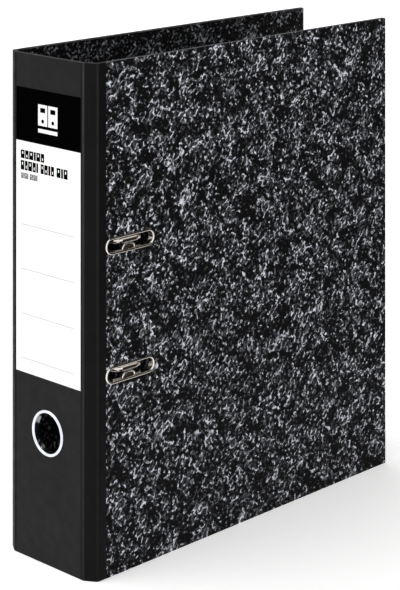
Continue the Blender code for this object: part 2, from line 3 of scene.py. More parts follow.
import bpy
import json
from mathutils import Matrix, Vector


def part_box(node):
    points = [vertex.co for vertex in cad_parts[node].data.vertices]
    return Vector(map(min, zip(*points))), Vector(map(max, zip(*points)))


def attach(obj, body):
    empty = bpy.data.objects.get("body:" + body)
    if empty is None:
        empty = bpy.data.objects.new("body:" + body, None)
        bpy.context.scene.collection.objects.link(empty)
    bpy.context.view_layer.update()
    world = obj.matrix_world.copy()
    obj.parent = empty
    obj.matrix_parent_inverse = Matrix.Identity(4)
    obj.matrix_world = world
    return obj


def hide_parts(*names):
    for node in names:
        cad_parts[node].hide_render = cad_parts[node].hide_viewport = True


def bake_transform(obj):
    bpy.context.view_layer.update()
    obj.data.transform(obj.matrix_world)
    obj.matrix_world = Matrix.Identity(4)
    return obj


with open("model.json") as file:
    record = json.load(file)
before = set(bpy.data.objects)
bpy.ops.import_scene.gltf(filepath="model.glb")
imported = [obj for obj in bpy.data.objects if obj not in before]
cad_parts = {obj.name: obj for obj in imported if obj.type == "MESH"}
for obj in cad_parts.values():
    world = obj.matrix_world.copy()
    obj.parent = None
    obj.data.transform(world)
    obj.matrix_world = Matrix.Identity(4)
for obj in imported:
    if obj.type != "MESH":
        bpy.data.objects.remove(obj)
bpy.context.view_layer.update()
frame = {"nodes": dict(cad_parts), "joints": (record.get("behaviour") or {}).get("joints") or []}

import json
import math

import bmesh
import bpy
from mathutils import Matrix, Vector

JOINTS = {joint["name"]: joint for joint in frame["joints"]}
NODES = frame["nodes"]

# ---- case, read from the frame ----
PAPER_LOW, PAPER_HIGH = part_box("front_cover_paper")
BOARD_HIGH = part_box("front_board")[1]
LINING_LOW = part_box("front_lining")[0]
HALF = PAPER_HIGH.x  # half of the thickness
FORE = BOARD_HIGH.y  # the covers' front edge
HEIGHT = BOARD_HIGH.z
SKIN = PAPER_HIGH.x - PAPER_LOW.x
WALL = HALF - LINING_LOW.x  # depth from the covering's face to the lining's

# ---- sizes that the looks add, in metres ----
CLOTH_REACH = 0.0070  # how far the cloth runs onto each cover
CLOTH_STEP = 0.00015  # the cloth stands this proud of the paper
CREASE_RADIUS = 0.0033
SPINE_REACH = 0.0022  # where the spine's own covering meets the hinge cloth
LINING_SHORTFALL = 0.0009  # the hinge lining runs this much less onto the spine than onto a cover
EDGE = 0.0003  # paper over the boards' edges
EDGE_ROLL = 0.0005  # radius of the covering's turn over the top and bottom edges
CORNER_RADIUS = 0.0009
PAPER_ROUNDING = 0.00012
BOARD_CLEARANCE = 0.00005  # between a board's face and the paper on it
RIVET_CLEARANCE = 0.0002
SLOT_LAP = 0.0007  # the eyelet's rim covers the paper's opening by this much all round
FINGER_HOLE_RADIUS = 0.0130


# ---- node materials ----
class Shader:
    """A material's node tree, with one short call for each kind of node."""

    def __init__(self, name):
        self.material = bpy.data.materials.new(name)
        self.material.use_nodes = True
        self.tree = self.material.node_tree
        self.surface = self.tree.nodes["Principled BSDF"]

    def node(self, kind, **settings):
        made = self.tree.nodes.new(f"ShaderNode{kind}")
        for name, value in settings.items():
            setattr(made, name, value)
        return made

    def feed(self, socket, value):
        if isinstance(value, bpy.types.NodeSocket):
            self.tree.links.new(value, socket)
        elif value is not None:
            socket.default_value = value

    def coordinates(self, kind, scale=(1, 1, 1), turn=(0, 0, 0), shift=(0, 0, 0)):
        source = self.node("TexCoord").outputs[kind]
        mapping = self.node("Mapping")
        self.feed(mapping.inputs["Vector"], source)
        self.feed(mapping.inputs["Scale"], scale)
        self.feed(mapping.inputs["Rotation"], turn)
        self.feed(mapping.inputs["Location"], shift)
        return mapping.outputs[0]

    def noise(self, vector, scale, detail=2.0, roughness=0.5, colour=False):
        made = self.node("TexNoise")
        self.feed(made.inputs["Vector"], vector)
        self.feed(made.inputs["Scale"], scale)
        self.feed(made.inputs["Detail"], detail)
        self.feed(made.inputs["Roughness"], roughness)
        return made.outputs["Color" if colour else "Fac"]

    def math(self, operation, first, second=None):
        made = self.node("Math", operation=operation)
        self.feed(made.inputs[0], first)
        self.feed(made.inputs[1], second)
        return made.outputs[0]

    def ramp(self, value, low, high, to_low=0.0, to_high=1.0, smooth=True):
        """value's stretch from low to high, mapped to to_low and to_high."""
        made = self.node("MapRange", interpolation_type="SMOOTHSTEP" if smooth else "LINEAR")
        for name, setting in (
            ("Value", value),
            ("From Min", low),
            ("From Max", high),
            ("To Min", to_low),
            ("To Max", to_high),
        ):
            self.feed(made.inputs[name], setting)
        return made.outputs[0]

    def blend(self, factor, first, second):
        made = self.node("Mix", data_type="RGBA")
        self.feed(made.inputs["Factor"], factor)
        self.feed(made.inputs["A"], first)
        self.feed(made.inputs["B"], second)
        return made.outputs["Result"]

    def vector_add(self, first, second, scale):
        """first plus second times scale."""
        scaled = self.node("VectorMath", operation="MULTIPLY_ADD")
        self.feed(scaled.inputs[0], second)
        self.feed(scaled.inputs[1], (scale, scale, scale))
        self.feed(scaled.inputs[2], first)
        return scaled.outputs[0]

    def bump(self, height, strength, distance):
        made = self.node("Bump")
        self.feed(made.inputs["Height"], height)
        self.feed(made.inputs["Strength"], strength)
        self.feed(made.inputs["Distance"], distance)
        self.feed(self.surface.inputs["Normal"], made.outputs[0])

    def set(self, **values):
        """Feed the surface's sockets, named with underscores for spaces, and give the material."""
        for name, value in values.items():
            self.feed(self.surface.inputs[name.replace("_", " ")], value)
        return self.material


def grey(value):
    return (value, value, value, 1.0)


def opaque(colour, factor=1.0):
    return (*(part * factor for part in colour), 1.0)


BLACK_INK = (0.0046, 0.0046, 0.0049, 1.0)
PALE_INK = (0.66, 0.68, 0.75)
# painted highlight: the paler colour laid along the creases, where light catches the rounded fold
CREASE_HIGHLIGHT_TONE = (0.036, 0.036, 0.037, 1.0)
# the spine paper's tone, lighter than the cloth's; part of that difference is painted light, standing
# for the stronger light on the spine
SPINE_TONE_AND_PAINTED_LIGHT = 0.0090
CLOTH_TONE = 0.0050
# painted shade: the linings' pale ink is darkened to stand for the shade inside the case
LINING_PAINTED_SHADE_FACTOR = 0.5

# Marbling. Scales are in cells or waves per metre, widths are shares of a cell.
STROKE_LEAN = -0.85  # radians that the pattern's coordinates turn by
STROKE_DRAW = 0.58  # cells are longer along the second axis by one over this
STROKE_SCALE, STROKE_WIDTH, STROKE_FROM, STROKE_TO = 245.0, 0.105, 0.52, 0.58
FINER_SCALE, FINER_WIDTH, FINER_FROM, FINER_TO, FINER_INK = 400.0, 0.120, 0.43, 0.58, 0.11
WARP_SCALE, WARP_REACH = 420.0, 0.0024
CLUSTER_SCALE, CLUSTER_WEIGHT = 75.0, 0.8
PRESENCE_SCALE = 430.0
TONE_SCALE, TONE_FLOOR = 380.0, 0.22
VEIL_INK = 0.012


def marbled_paper(name, coordinates="Object", axis=0, shift=(0.0, 0.0, 0.0), painted_shade_factor=1.0):
    """Black paper printed with pale marbling: a web of short crisp strokes, broken into clusters.

    axis is the one that the pattern turns about, and the last argument darkens the pale ink as painted
    shade, for the linings inside the case.
    """
    s = Shader(name)
    turn = [0.0, 0.0, 0.0]
    turn[axis] = STROKE_LEAN
    flat = s.coordinates(coordinates, turn=turn, shift=shift)
    warped = s.vector_add(flat, s.noise(flat, WARP_SCALE, 2.0, 0.6, colour=True), WARP_REACH)
    centred = s.math("SUBTRACT", s.noise(flat, CLUSTER_SCALE, 3.0, 0.6), 0.5)
    clusters = s.math("MULTIPLY", centred, CLUSTER_WEIGHT)
    presence = s.math("ADD", s.noise(flat, PRESENCE_SCALE), clusters)
    strokes = web(s, warped, STROKE_SCALE, STROKE_WIDTH)
    strokes = s.math("MULTIPLY", strokes, s.ramp(presence, STROKE_FROM, STROKE_TO))
    finer = web(s, warped, FINER_SCALE, FINER_WIDTH)
    finer = s.math("MULTIPLY", finer, s.ramp(presence, FINER_FROM, FINER_TO))
    tone = s.ramp(s.noise(flat, TONE_SCALE, 1.0), 0.34, 0.66, TONE_FLOOR, 1.0)
    ink = s.math("MAXIMUM", s.math("MULTIPLY", strokes, tone), s.math("MULTIPLY", finer, FINER_INK))
    veiled = s.math("MAXIMUM", ink, s.ramp(presence, 0.35, 0.70, 0.0, VEIL_INK))
    rough = s.ramp(s.noise(flat, 900.0, 2.0), 0.3, 0.7, 0.42, 0.56)
    grain = s.math("ADD", s.noise(flat, 2600.0, 3.0, 0.6), s.math("MULTIPLY", ink, 0.3))
    s.bump(grain, 0.10, 0.00005)
    colour = s.blend(veiled, BLACK_INK, opaque(PALE_INK, painted_shade_factor))
    return s.set(Base_Color=colour, Roughness=rough, Specular_IOR_Level=0.02)


def web(s, vector, scale, width):
    """Thin lines between cells that are drawn out along one axis."""
    stretch = s.node("Mapping")
    s.feed(stretch.inputs["Vector"], vector)
    s.feed(stretch.inputs["Scale"], (1.0, STROKE_DRAW, 1.0))
    cells = s.node("TexVoronoi", feature="DISTANCE_TO_EDGE")
    s.feed(cells.inputs["Vector"], stretch.outputs[0])
    s.feed(cells.inputs["Scale"], scale)
    return s.ramp(cells.outputs["Distance"], width * 0.3, width, 1.0, 0.0)


def covering(name, tone, coordinates="UV", gloss=0.08, crease_highlight_strength=0.0):
    """Plain dark covering with a fine linen emboss, and a painted highlight along the crease at U = 0.
    """
    s = Shader(name)
    flat = s.coordinates(coordinates)
    drift = s.ramp(s.noise(flat, 30.0, 4.0, 0.6), 0.3, 0.7)
    colour = s.blend(drift, grey(tone * 0.86), grey(tone * 1.14))
    # painted highlight along the crease
    if crease_highlight_strength:
        colour = s.blend(s.math("MULTIPLY", painted_crease_highlight(s, flat), crease_highlight_strength), colour, CREASE_HIGHLIGHT_TONE)
    across = s.noise(s.coordinates(coordinates, scale=(1.0, 7.0, 1.0)), 700.0, 2.0)
    along = s.noise(s.coordinates(coordinates, scale=(7.0, 1.0, 1.0)), 700.0, 2.0)
    s.bump(s.math("ADD", across, along), 0.16, 0.00008)
    rough = s.ramp(s.noise(flat, 140.0, 3.0), 0.3, 0.7, 0.46, 0.60)
    return s.set(Base_Color=colour, Roughness=rough, Specular_IOR_Level=gloss)


def painted_crease_highlight(s, flat):
    """A painted highlight band along the crease, broken up a little and stronger towards the top,
    where more light falls.
    """
    split = s.node("SeparateXYZ")
    s.feed(split.inputs[0], flat)
    band = s.ramp(s.math("ABSOLUTE", split.outputs["X"]), 0.0002, 0.0012, 1.0, 0.0)
    # the painted highlight is stronger towards the top, as if lit from above
    rise = s.ramp(split.outputs["Y"], 0.0, HEIGHT, 0.42, 1.0, smooth=False)
    patchy = s.ramp(s.noise(flat, 160.0, 3.0, 0.6), 0.3, 0.7, 0.7, 1.0)
    return s.math("MULTIPLY", s.math("MULTIPLY", band, rise), patchy)


def greyboard(name):
    s = Shader(name)
    flat = s.coordinates("Object")
    fibre = s.noise(s.coordinates("Object", scale=(9.0, 1.0, 1.0)), 500.0, 4.0, 0.7)
    colour = s.blend(s.ramp(fibre, 0.35, 0.65), (0.16, 0.15, 0.13, 1.0), (0.25, 0.235, 0.205, 1.0))
    s.bump(s.noise(flat, 1800.0, 3.0, 0.7), 0.5, 0.0001)
    return s.set(Base_Color=colour, Roughness=0.9, Specular_IOR_Level=0.2)


def metal(name, colour, low, high, brushed=False):
    """Plated steel: fine scratches, a slow change of polish and slightly darker patches."""
    s = Shader(name)
    flat = s.coordinates("Object")
    lines = s.coordinates("Object", scale=(1.0, 1.0, 0.04) if brushed else (1.0, 1.0, 1.0))
    scratch = s.noise(lines, 2400.0 if brushed else 500.0, 3.0, 0.6)
    rough = s.math(
        "ADD",
        s.ramp(scratch, 0.3, 0.7, low, high),
        s.ramp(s.noise(flat, 70.0, 3.0), 0.35, 0.75, 0.0, 0.06),
    )
    tone = s.ramp(s.noise(flat, 120.0, 4.0, 0.6), 0.3, 0.75)
    mixed = s.blend(tone, opaque(colour, 0.86), opaque(colour))
    s.bump(scratch, 0.06 if brushed else 0.02, 0.00004)
    return s.set(Base_Color=mixed, Roughness=rough, Metallic=1.0)


def moulded_plastic(name):
    s = Shader(name)
    flat = s.coordinates("Object")
    colour = s.blend(s.noise(flat, 60.0, 3.0), grey(0.022), grey(0.034))
    s.bump(s.noise(flat, 3200.0, 2.0, 0.6), 0.22, 0.00006)
    rough = s.ramp(s.noise(flat, 200.0, 3.0), 0.3, 0.7, 0.38, 0.52)
    return s.set(Base_Color=colour, Roughness=rough, Specular_IOR_Level=0.5)


def printed_paper(name, colour, roughness=0.42, gloss=0.25):
    """Label paper or the ink on it, with a faint tooth."""
    s = Shader(name)
    flat = s.coordinates("Object")
    tooth = s.noise(flat, 1500.0, 3.0, 0.6)
    drift = s.ramp(s.noise(flat, 90.0, 4.0), 0.3, 0.7)
    mixed = s.blend(drift, opaque(colour, 0.965), opaque(colour))
    s.bump(tooth, 0.05, 0.00004)
    return s.set(Base_Color=mixed, Roughness=roughness, Specular_IOR_Level=gloss)


# ---- outlines and meshes ----
def arc(centre, radius, start, end, steps=12):
    turns = [math.radians(start + (end - start) * step / steps) for step in range(steps + 1)]
    return [(centre[0] + radius * math.cos(t), centre[1] + radius * math.sin(t)) for t in turns]


def circle(centre, radius, steps):
    return arc(centre, radius, 0, 360, steps)[:-1]


def stadium(centre, length, height):
    radius = height / 2
    reach = length / 2 - radius
    right = arc((centre[0] + reach, centre[1]), radius, -90, 90, 24)
    return right + arc((centre[0] - reach, centre[1]), radius, 90, 270, 24)


def new_mesh(name, shape):
    mesh = bpy.data.meshes.new(name)
    bmesh.ops.recalc_face_normals(shape, faces=shape.faces)
    shape.to_mesh(mesh)
    shape.free()
    return mesh


def plate(outlines, low, high):
    """A flat plate from low to high along Z: the first outline is its edge, the others are holes."""
    curve = bpy.data.curves.new("outline", "CURVE")
    curve.dimensions = "2D"
    curve.fill_mode = "BOTH"
    curve.extrude = (high - low) / 2
    for outline in outlines:
        spline = curve.splines.new("POLY")
        spline.points.add(len(outline) - 1)
        for point, (x, y) in zip(spline.points, outline, strict=True):
            point.co = (x, y, 0.0, 1.0)
        spline.use_cyclic_u = True
    guide = bpy.data.objects.new("outline", curve)
    bpy.context.scene.collection.objects.link(guide)
    bpy.context.view_layer.update()
    flat = guide.evaluated_get(bpy.context.evaluated_depsgraph_get())
    mesh = bpy.data.meshes.new_from_object(flat)
    bpy.data.objects.remove(guide)
    shape = bmesh.new()
    shape.from_mesh(mesh)
    bmesh.ops.translate(shape, verts=shape.verts, vec=(0, 0, (low + high) / 2))
    bmesh.ops.remove_doubles(shape, verts=shape.verts, dist=1e-6)
    return new_mesh("plate", shape)


def ring_mesh(loops):
    """Quads between loops of points, the last loop joined to the first."""
    shape = bmesh.new()
    rows = [[shape.verts.new(point) for point in loop] for loop in loops]
    count = len(rows[0])
    for row, following in zip(rows, rows[1:] + rows[:1], strict=True):
        for i in range(count):
            j = (i + 1) % count
            shape.faces.new((row[i], row[j], following[j], following[i]))
    return new_mesh("ring", shape)


def add(name, mesh, materials, matrix=None):
    obj = bpy.data.objects.new(name, mesh)
    bpy.context.scene.collection.objects.link(obj)
    if matrix is not None:
        obj.matrix_world = matrix
    for material in materials:
        mesh.materials.append(material)
    return obj


def shade(obj, angle=35.0):
    """Smooth shading, with edges sharper than angle kept sharp."""
    obj.data.shade_smooth()
    obj.data.set_sharp_from_angle(angle=math.radians(angle))
    return obj


def round_edges(obj, width):
    modifier = obj.modifiers.new("edge rounding", "BEVEL")
    modifier.width = width
    modifier.segments = 2
    modifier.limit_method = "ANGLE"
    modifier.angle_limit = math.radians(40.0)
    modifier.harden_normals = False
    return obj


def cut(obj, cutters):
    """Cut these meshes, given in obj's own frame, out of obj for good."""
    helpers = []
    for mesh in cutters:
        helper = add("cutter", mesh, [], obj.matrix_world.copy())
        modifier = obj.modifiers.new("cut", "BOOLEAN")
        modifier.operation = "DIFFERENCE"
        modifier.object = helper
        helpers.append(helper)
    bpy.context.view_layer.update()
    solid = obj.evaluated_get(bpy.context.evaluated_depsgraph_get())
    obj.data = bpy.data.meshes.new_from_object(solid)
    obj.modifiers.clear()
    for helper in helpers:
        bpy.data.objects.remove(helper)
    return obj


def finish_piece(obj, body, slot, *replaced):
    """Put a finished piece on its body and hide the frame nodes it stands for; slot is not used."""
    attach(obj, body)
    if replaced:
        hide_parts(*replaced)
    return obj


# COVER_FRAME has X along the frame's Y, Y up and Z out through the front cover.
COVER_FRAME = Matrix(((0, 0, 1, 0), (1, 0, 0, 0), (0, 1, 0, 0), (0, 0, 0, 1)))
# SPINE_FRAME has X across the spine, Y up and Z out of it.
SPINE_FRAME = Matrix(((1, 0, 0, 0), (0, 0, -1, -FORE), (0, 1, 0, 0), (0, 0, 0, 1)))


# ---- case coverings ----
def crease(joint):
    return Vector(JOINTS[joint]["pos_m"][:2])


BACK_CREASE = crease("back_strip_fold")
SPINE_BACK = crease("spine_fold")
SPINE_FRONT = crease("front_strip_fold")
FRONT_CREASE = crease("front_cover_fold")
ALONG_BACK = Vector((0.0, -1.0))
ALONG_BACK_STRIP = (SPINE_BACK - BACK_CREASE).normalized()
ALONG_SPINE = Vector((1.0, 0.0))
ALONG_FRONT_STRIP = (FRONT_CREASE - SPINE_FRONT).normalized()
ALONG_FRONT = Vector((0.0, 1.0))
STRIP_LENGTH = (FRONT_CREASE - SPINE_FRONT).length


def inward(direction, turn=0.0):
    """The unit normal on the left of a plan direction, turned further by an angle."""
    left = Vector((-direction.y, direction.x))
    return Vector(
        (
            left.x * math.cos(turn) - left.y * math.sin(turn),
            left.x * math.sin(turn) + left.y * math.cos(turn),
        )
    )


def straight(start, end):
    normal = inward((end - start).normalized())
    return [(start, normal), (end, normal)]


def tangent_length(before, after):
    return CREASE_RADIUS * math.tan(before.angle(after) / 2)


def round_crease(corner, before, after, reach_before, reach_after):
    """Stations of (point, inward normal) along the outer surface, round one crease."""
    steps = 8
    turn = before.angle(after)
    centre = corner - before * tangent_length(before, after) + inward(before) * CREASE_RADIUS
    stations = [(corner - before * reach_before, inward(before))]
    for step in range(steps + 1):
        normal = inward(before, turn * step / steps)
        stations.append((centre - normal * CREASE_RADIUS, normal))
    stations.append((corner + after * reach_after, inward(after)))
    return stations


def sweep(stations, profile, start=0.0):
    """Sweep a closed profile of (depth, z) along plan stations, with a UV map in metres from start."""
    shape = bmesh.new()
    layer = shape.loops.layers.uv.new("UVMap")
    travelled = [start]
    for (point, _), (following, _) in zip(stations, stations[1:], strict=False):
        travelled.append(travelled[-1] + (following - point).length)
    rows = []
    place = {}
    for (point, normal), u in zip(stations, travelled, strict=True):
        row = []
        for depth, z in profile:
            vert = shape.verts.new((*(point + normal * depth), z))
            place[vert] = (u, z + math.copysign(depth, z - HEIGHT / 2))
            row.append(vert)
        rows.append(row)
    count = len(profile)
    for row, following in zip(rows, rows[1:], strict=False):
        for i in range(count):
            j = (i + 1) % count
            shape.faces.new((row[i], following[i], following[j], row[j]))
    shape.faces.new(rows[0])
    shape.faces.new(rows[-1][::-1])
    for face in shape.faces:
        for loop in face.loops:
            loop[layer].uv = place[loop.vert]
    return new_mesh("sweep", shape)


def jacket_profile():
    """A sheet on the outer face that runs over the top and bottom edges of the board."""
    low, high, roll = -EDGE, HEIGHT + EDGE, EDGE_ROLL
    turns = [math.pi / 2 * step / 4 for step in range(5)]
    top = [(roll - roll * math.sin(t), high - roll + roll * math.cos(t)) for t in turns]
    bottom = [(depth, low + high - z) for depth, z in top]
    inner_top = [(WALL, high), (WALL, HEIGHT), (SKIN, HEIGHT)]
    inner_bottom = [(SKIN, 0.0), (WALL, 0.0), (WALL, low)]
    return bottom + top[::-1] + inner_top + inner_bottom


def sheet_profile(outer, inner, margin):
    """A plain sheet between two depths, short of the top and bottom edges by margin."""
    return [(outer, margin), (outer, HEIGHT - margin), (inner, HEIGHT - margin), (inner, margin)]


HINGES = {
    "back_hinge": ("back_cover", "back_strip", BACK_CREASE, ALONG_BACK, ALONG_BACK_STRIP),
    "back_spine_hinge": ("back_strip", "spine", SPINE_BACK, ALONG_BACK_STRIP, ALONG_SPINE),
    "front_spine_hinge": ("spine", "front_strip", SPINE_FRONT, ALONG_SPINE, ALONG_FRONT_STRIP),
    "front_hinge": ("front_strip", "front_cover", FRONT_CREASE, ALONG_FRONT_STRIP, ALONG_FRONT),
}
# strength of the painted highlight along each crease
CREASE_HIGHLIGHTS = {
    "back_hinge": 0.30,
    "back_spine_hinge": 0.05,
    "front_spine_hinge": 1.00,
    "front_hinge": 0.34,
}
CLOTH_NODES = {
    "back_hinge": "back_strip_cloth",
    "back_spine_hinge": "back_strip_cloth",
    "front_spine_hinge": "front_strip_cloth",
    "front_hinge": "front_strip_cloth",
}


def hinge_reach(name, on_cover, on_spine):
    """How far a hinge piece runs before and after its crease: it meets its neighbour mid-strip."""
    middle = STRIP_LENGTH / 2
    return {
        "back_hinge": (on_cover, middle),
        "back_spine_hinge": (middle, on_spine),
        "front_spine_hinge": (on_spine, middle),
        "front_hinge": (middle, on_cover),
    }[name]


def hinge_piece(name, hinge, profile, reaches, material):
    """A sheet round one crease, with U = 0 at the crease's middle."""
    first, second, corner, before, after = HINGES[hinge]
    stations = round_crease(corner, before, after, *reaches)
    tangent = tangent_length(before, after)
    fold_length = CREASE_RADIUS * before.angle(after)
    start = tangent - reaches[0] - fold_length / 2
    piece = shade(add(name, sweep(stations, profile, start), [material]))
    start = (*(corner - before * tangent), HEIGHT / 2)
    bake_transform(piece)
    return piece


def build_hinges(lining):
    for hinge, node in CLOTH_NODES.items():
        cloth = covering(f"{hinge}_cloth", CLOTH_TONE, gloss=0.05, crease_highlight_strength=CREASE_HIGHLIGHTS[hinge])
        reaches = hinge_reach(hinge, CLOTH_REACH, SPINE_REACH)
        piece = hinge_piece(f"{hinge}_cloth", hinge, jacket_profile(), reaches, cloth)
        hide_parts(node)
        on_cover = LINING_LOW.y - FRONT_CREASE.y
        reaches = hinge_reach(hinge, on_cover, on_cover - LINING_SHORTFALL)
        profile = sheet_profile(WALL - SKIN, WALL, SKIN)
        hinge_piece(f"{hinge}_lining", hinge, profile, reaches, lining)


def build_spine_covering(material):
    start = SPINE_BACK + ALONG_SPINE * SPINE_REACH
    end = SPINE_FRONT - ALONG_SPINE * SPINE_REACH
    piece = add("spine_covering", sweep(straight(start, end), jacket_profile()), [material])
    ring_low, ring_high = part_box("finger_ring_backing")
    middle = (ring_low + ring_high) / 2
    hole = plate([circle((middle.x, middle.z), FINGER_HOLE_RADIUS, 64)], -WALL * 2, WALL)
    hole.transform(SPINE_FRAME)
    cut(piece, [hole])
    shade(piece)
    return finish_piece(piece, "spine", "spine_paper", "spine_cloth")


def slot_place(level):
    """The centre and the size of an eyelet's box."""
    low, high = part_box(f"{level}_slot_eyelet")
    return (low + high) / 2, high - low


def cover_outline(start, margin, radius):
    """The cover in its own plane from start to the fore edge, with the two fore corners rounded."""
    high_y, low_z, high_z = FORE + margin, -margin, HEIGHT + margin
    corner = high_y - radius
    outline = [(start, high_z), (start, low_z)]
    outline += arc((corner, low_z + radius), radius, -90, 0, 6)
    outline += arc((corner, high_z - radius), radius, 0, 90, 6)
    return outline


def rivet_opening(name):
    low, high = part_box(name)
    radius = (high.y - low.y) / 2 + RIVET_CLEARANCE
    centre = ((low.y + high.y) / 2, (low.z + high.z) / 2)
    return plate([circle(centre, radius, 40)], 0.0, 2 * HALF)


def build_cover_paper(side, marbled, edge):
    """The printed sheet on a cover's outer face and over its three free edges.

    It is a plate with the board's room cut out of it, made for the front and mirrored for the back.
    """
    start = FRONT_CREASE.y + CLOTH_REACH
    face, foot = HALF - CLOTH_STEP, HALF - WALL
    seat = BOARD_HIGH.x + BOARD_CLEARANCE
    mesh = plate([cover_outline(start, EDGE, CORNER_RADIUS)], foot, face)
    piece = add(f"{side}_marbled_paper", mesh, [marbled, edge], COVER_FRAME)
    board_room = cover_outline(start - 0.001, 0.00002, CORNER_RADIUS - EDGE)
    cutters = [plate([board_room], foot - 0.001, seat)]
    if side == "front":
        for level in ("lower", "upper"):
            centre, size = slot_place(level)
            inner = stadium((centre.y, centre.z), size.y - 2 * SLOT_LAP, size.z - 2 * SLOT_LAP)
            cutters.append(plate([inner], 0.0, 2 * HALF))
    else:
        for name in NODES:
            if name.startswith("mount_rivet"):
                cutters.append(rivet_opening(name))
    cut(piece, cutters)
    piece.data.transform(COVER_FRAME)
    piece.matrix_world = Matrix.Identity(4)
    if side == "back":
        piece.data.transform(Matrix.Diagonal((-1, 1, 1, 1)))
        piece.data.flip_normals()
    for polygon in piece.data.polygons:
        polygon.material_index = 0 if abs(polygon.normal.x) > 0.7 else 1
    round_edges(piece, PAPER_ROUNDING)
    return finish_piece(shade(piece), f"{side}_cover", "cover_paper", f"{side}_cover_paper")


# ---- label, in the spine's frame ----
LABEL_THICK = 0.0002
INK_THICK = 0.00003
HEADER_HEIGHT = 0.0341
RULE_ENDS = (-0.0247, 0.0241)
RULE_LEVELS = (0.2098, 0.1816, 0.1532, 0.1251)
RULE_HALF_WIDTH = 0.0003
LETTER_GAP = 0.10  # of a letter's height
# Each greeked word: left, right, foot and head, and the widths of its letters in proportion.
TITLE_WORDS = (
    (-0.0259, -0.0034, 0.2516, 0.2570, (1.0, 0.9, 1.1, 0.5, 1.0, 0.9)),
    (-0.0259, -0.0092, 0.2443, 0.2503, (1.0, 0.8, 1.1, 0.9, 0.5)),
    (-0.0068, 0.0059, 0.2443, 0.2503, (0.9, 1.0, 0.6, 0.9)),
    (0.0083, 0.0185, 0.2443, 0.2503, (1.0, 0.5, 1.0)),
)
SUBTITLE_WORDS = (
    (-0.0255, -0.0186, 0.2389, 0.2425, (1.0, 0.8, 1.0, 0.6)),
    (-0.0172, -0.0099, 0.2389, 0.2425, (1.0, 0.8, 1.0, 0.6)),
)


def rectangle(low, high):
    return [(low[0], low[1]), (high[0], low[1]), (high[0], high[1]), (low[0], high[1])]


def print_film(name, shapes, material):
    """Ink on the label: each shape is an outline and the holes in it."""
    mesh = bpy.data.meshes.new(name)
    film = bmesh.new()
    for outlines in shapes:
        part = plate(outlines, LABEL_THICK, LABEL_THICK + INK_THICK)
        film.from_mesh(part)
        bpy.data.meshes.remove(part)
    film.to_mesh(mesh)
    film.free()
    return add(name, mesh, [material])


def build_label(paper, ink, rule_ink, grey_ink, white_ink):
    """The stuck-on label: a black header with an emblem, greeked words and four writing rules."""
    low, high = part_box("spine_label")
    header_low = high.z - HEADER_HEIGHT
    sheet = plate([rectangle((low.x, low.z), (high.x, header_low))], 0.0, LABEL_THICK)
    header = plate([rectangle((low.x, header_low), (high.x, high.z))], 0.0, LABEL_THICK)
    rules = []
    for level in RULE_LEVELS:
        foot = (RULE_ENDS[0], level - RULE_HALF_WIDTH)
        rules.append([rectangle(foot, (RULE_ENDS[1], level + RULE_HALF_WIDTH))])
    title = [letter for place in TITLE_WORDS for letter in word(*place)]
    subtitle = [letter for place in SUBTITLE_WORDS for letter in word(*place)]
    pieces = [
        add("label_sheet", sheet, [paper]),
        add("label_header", header, [ink]),
        print_film("label_rules", rules, rule_ink),
        print_film("label_title", title, ink),
        print_film("label_subtitle", subtitle, grey_ink),
        print_film("label_emblem", emblem(), white_ink),
    ]
    for piece in pieces:
        piece.matrix_world = SPINE_FRAME
        finish_piece(piece, "spine", "label_paper")
    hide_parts("spine_label")


def word(left, right, low, high, shares):
    """A greeked word: letter-sized blocks, the wider ones with a small hole. It spells nothing."""
    tall = high - low
    gap = LETTER_GAP * tall
    unit = (right - left - gap * (len(shares) - 1)) / sum(shares)
    blocks = []
    for count, share in enumerate(shares):
        width = share * unit
        block = [rectangle((left, low), (left + width, high))]
        if share > 0.6:
            foot = low + tall * (0.20 if count % 2 else 0.52)
            counter = rectangle((left + width * 0.36, foot), (left + width * 0.64, foot + tall * 0.28))
            block.append(counter[::-1])
        blocks.append(block)
        left += width + gap
    return blocks


def emblem():
    """Two generic upright files, each with a window and a round hole, over a thin line."""
    file_lefts, file_width, file_foot, file_head = (-0.0092, 0.0004), 0.0087, 0.2745, 0.2878
    shapes = []
    for left in file_lefts:
        right = left + file_width
        middle = (left + right) / 2
        window = rectangle((middle - 0.0024, 0.2828), (middle + 0.0024, 0.2858))[::-1]
        hole = circle((middle, 0.2774), 0.0013, 24)[::-1]
        shapes.append([rectangle((left, file_foot), (right, file_head)), window, hole])
    return shapes + [[rectangle((-0.0092, 0.2701), (0.0091, 0.2725))]]


# ---- metal fittings ----
RING_WIDTH = 0.0023  # of the finger ring's rolled rim
SLOT_RIM = 0.0017
FITTING_FOOT = 0.0003  # how far a drawn wall passes the lining
TAB_WIDTH, TAB_HEIGHT, TAB_DEPTH = 0.0122, 0.0036, 0.0012


def half_turns(steps):
    return [math.pi * step / steps for step in range(steps + 1)]


def build_finger_ring(material):
    low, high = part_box("finger_ring")
    centre = (low + high) / 2
    outer = (high.x - low.x) / 2
    inner = outer - RING_WIDTH
    rim, reach = (outer + inner) / 2, (outer - inner) / 2
    proud = -FORE - low.y
    crown = [(rim - reach * math.cos(t), proud * math.sin(t)) for t in half_turns(14)]
    foot = [(inner + 0.0005, 0.0), (inner + 0.0005, -WALL), (inner, -WALL - FITTING_FOOT)]
    curl = [(inner - 0.0002, -WALL / 2), (inner - 0.0001, -0.0006)]
    profile = crown + foot + curl
    loops = []
    for radius, height in profile:
        loops.append([(x, z, height) for x, z in circle((centre.x, centre.z), radius, 96)])
    ring = add("finger_ring_polished", ring_mesh(loops), [material], SPINE_FRAME)
    return finish_piece(shade(ring, 50), "spine", "bright_nickel", "finger_ring")


